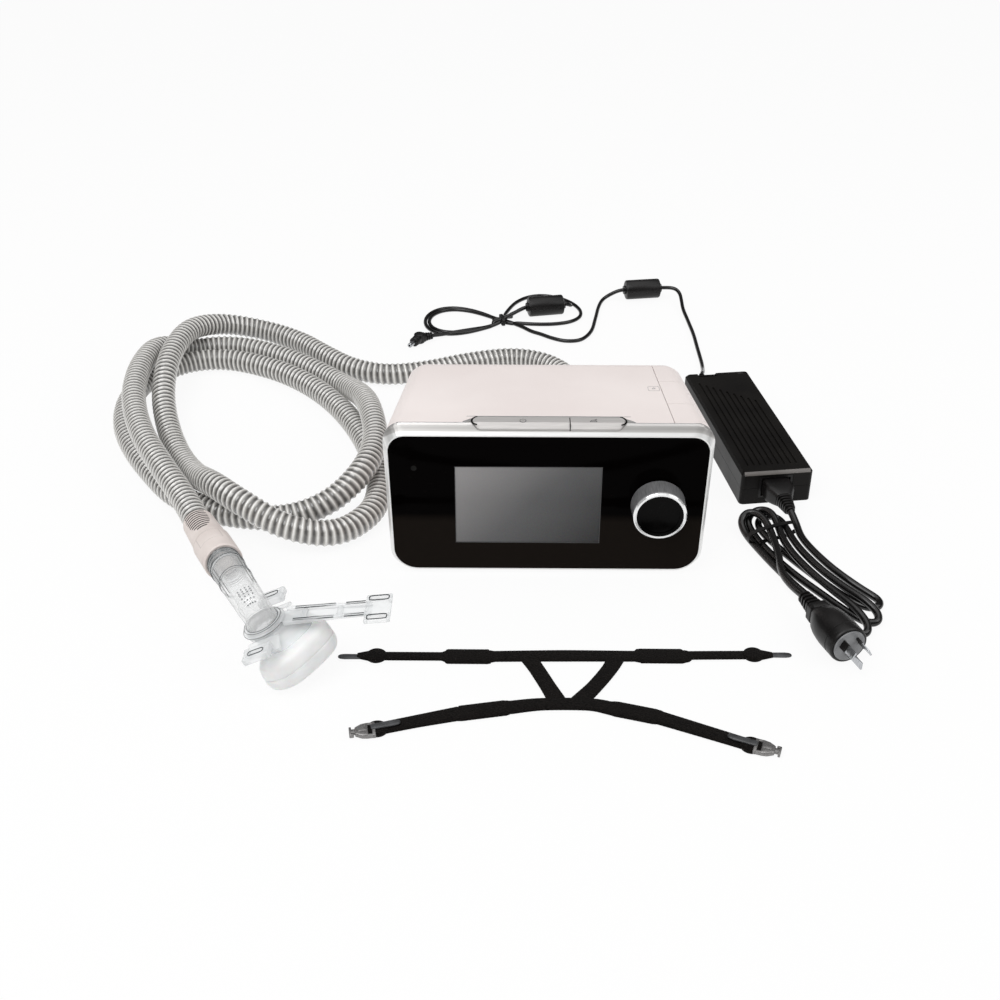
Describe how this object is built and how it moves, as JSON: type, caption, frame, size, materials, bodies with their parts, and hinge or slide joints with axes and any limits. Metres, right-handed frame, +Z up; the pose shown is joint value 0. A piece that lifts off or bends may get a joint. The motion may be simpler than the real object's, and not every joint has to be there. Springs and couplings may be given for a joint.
{
  "type": "bilevel pap machine",
  "caption": "Bedside breathing machine with a glass front, screen, turning knob and top buttons, a slide-out humidifier, coiled hose, nasal mask, headgear and power adapter.",
  "frame": {"origin": "centre of the machine's footprint, on the surface it stands on", "axes": "+Z up, the glass front faces -Y, +X is to the right as seen from the front"},
  "size_m": [0.719, 0.8535, 0.1442],
  "materials": {
    "cover": "warm white smooth moulded plastic",
    "tray": "warm white moulded plastic",
    "trim": "silver painted trim",
    "black_glass": "black glossy front",
    "screen": "grey screen",
    "board": "circuit board",
    "rubber": "soft rubber",
    "steel": "bright steel",
    "silver": "satin silver",
    "chrome": "bright ring",
    "black_gloss": "black glossy disc",
    "dark_plastic": "black moulded plastic",
    "smoke": "clear tank plastic",
    "seal": "grey silicone",
    "alu": "plain plate",
    "duct": "light grey inner moulding",
    "foam": "white filter felt",
    "cuff": "warm white soft plastic",
    "hose": "grey ribbed tubing",
    "clear": "clear moulded plastic",
    "silicone": "frosted silicone",
    "fabric": "black padded strap",
    "grey_plastic": "grey plastic",
    "brick": "black moulded case",
    "cable": "black cable sheath"
  },
  "bodies": {
    "case": {"base_tray": "tray", "upper_housing": "cover", "front_bezel": "trim", "front_panel": "black_glass", "display_module": "screen", "main_board": "board", "rubber_feet": "rubber", "housing_screws": "steel", "encoder_base": "silver", "button_board": "board", "port_seals": "seal", "heater_plate": "alu", "blower_housing": "duct", "blower_mounts": "rubber", "blower_motor": "steel", "air_duct": "duct", "outlet_duct": "duct", "intake_box": "duct", "inlet_filter": "foam", "dc_socket": "dark_plastic", "machine_cuff": "cuff", "hose_tube": "hose", "mask_cuff": "cuff", "mask_swivel": "clear", "headgear_straps": "fabric", "strap_tabs": "grey_plastic", "strap_clips": "grey_plastic", "adapter_base": "brick", "adapter_top": "brick", "adapter_board": "board", "adapter_inlet": "dark_plastic", "dc_relief": "cable", "dc_cable": "cable", "dc_hank": "cable", "dc_tie": "dark_plastic", "ferrite_cores": "brick", "dc_plug": "dark_plastic", "mains_connector": "dark_plastic", "mains_cord": "cable", "mains_hank": "cable", "mains_tie": "dark_plastic", "mains_plug": "dark_plastic"},
    "knob_plunger": {"encoder_plunger": "silver"},
    "knob": {"encoder_shaft": "steel", "knob_body": "silver", "knob_ring": "chrome", "knob_cap": "black_gloss"},
    "power_key": {"power_button": "silver"},
    "ramp_key": {"ramp_button": "silver"},
    "humidifier": {"tank_end_cover": "cover", "water_tank": "smoke", "tank_seal": "seal", "tank_lid": "smoke"},
    "latch": {"tank_latch": "cover"},
    "rotor": {"impeller": "duct", "motor_shaft": "steel"},
    "cap": {"filter_cap": "tray"},
    "elbow": {"mask_elbow": "clear"},
    "mask": {"mask_frame": "clear", "mask_cushion": "silicone"}
  },
  "joints": [
    {"name": "knob_press", "type": "slide", "parent": "case", "child": "knob_plunger", "axis": [0, 1, 0], "range_m": [0, 0.0012], "stiffness_N_per_m": 800, "springref_m": -0.001},
    {"name": "knob_turn", "type": "hinge", "parent": "knob_plunger", "child": "knob", "pos_m": [0.0915, -0.0735, 0.071], "axis": [0, 1, 0], "continuous": true},
    {"name": "power_press", "type": "slide", "parent": "case", "child": "power_key", "axis": [0, 0, -1], "range_m": [0, 0.0012], "stiffness_N_per_m": 600, "springref_m": -0.001},
    {"name": "ramp_press", "type": "slide", "parent": "case", "child": "ramp_key", "axis": [0, 0, -1], "range_m": [0, 0.0012], "stiffness_N_per_m": 600, "springref_m": -0.001},
    {"name": "tank_slide", "type": "slide", "parent": "case", "child": "humidifier", "axis": [1, 0, 0], "range_m": [0, 0.055]},
    {"name": "latch_hinge", "type": "hinge", "parent": "humidifier", "child": "latch", "pos_m": [0.11875, 0, 0.0878], "axis": [0, 1, 0], "range_deg": [0, 5.5], "stiffness_Nm_per_rad": 0.15, "springref_deg": -11.46},
    {"name": "fan_spin", "type": "hinge", "parent": "case", "child": "rotor", "pos_m": [-0.052, 0.012, 0.04], "axis": [0, 0, 1], "continuous": true},
    {"name": "filter_pull", "type": "slide", "parent": "case", "child": "cap", "axis": [0, 1, 0], "range_m": [0, 0.012]},
    {"name": "elbow_swivel", "type": "hinge", "parent": "case", "child": "elbow", "pos_m": [-0.298, -0.054, 0.036], "axis": [0.44, -0.8884, 0.1308], "range_deg": [-12, 12]},
    {"name": "mask_swivel_joint", "type": "hinge", "parent": "elbow", "child": "mask", "pos_m": [-0.219, -0.202, 0.045], "axis": [-0.4067, 0, 0.9135], "range_deg": [-12, 12]}
  ]
}
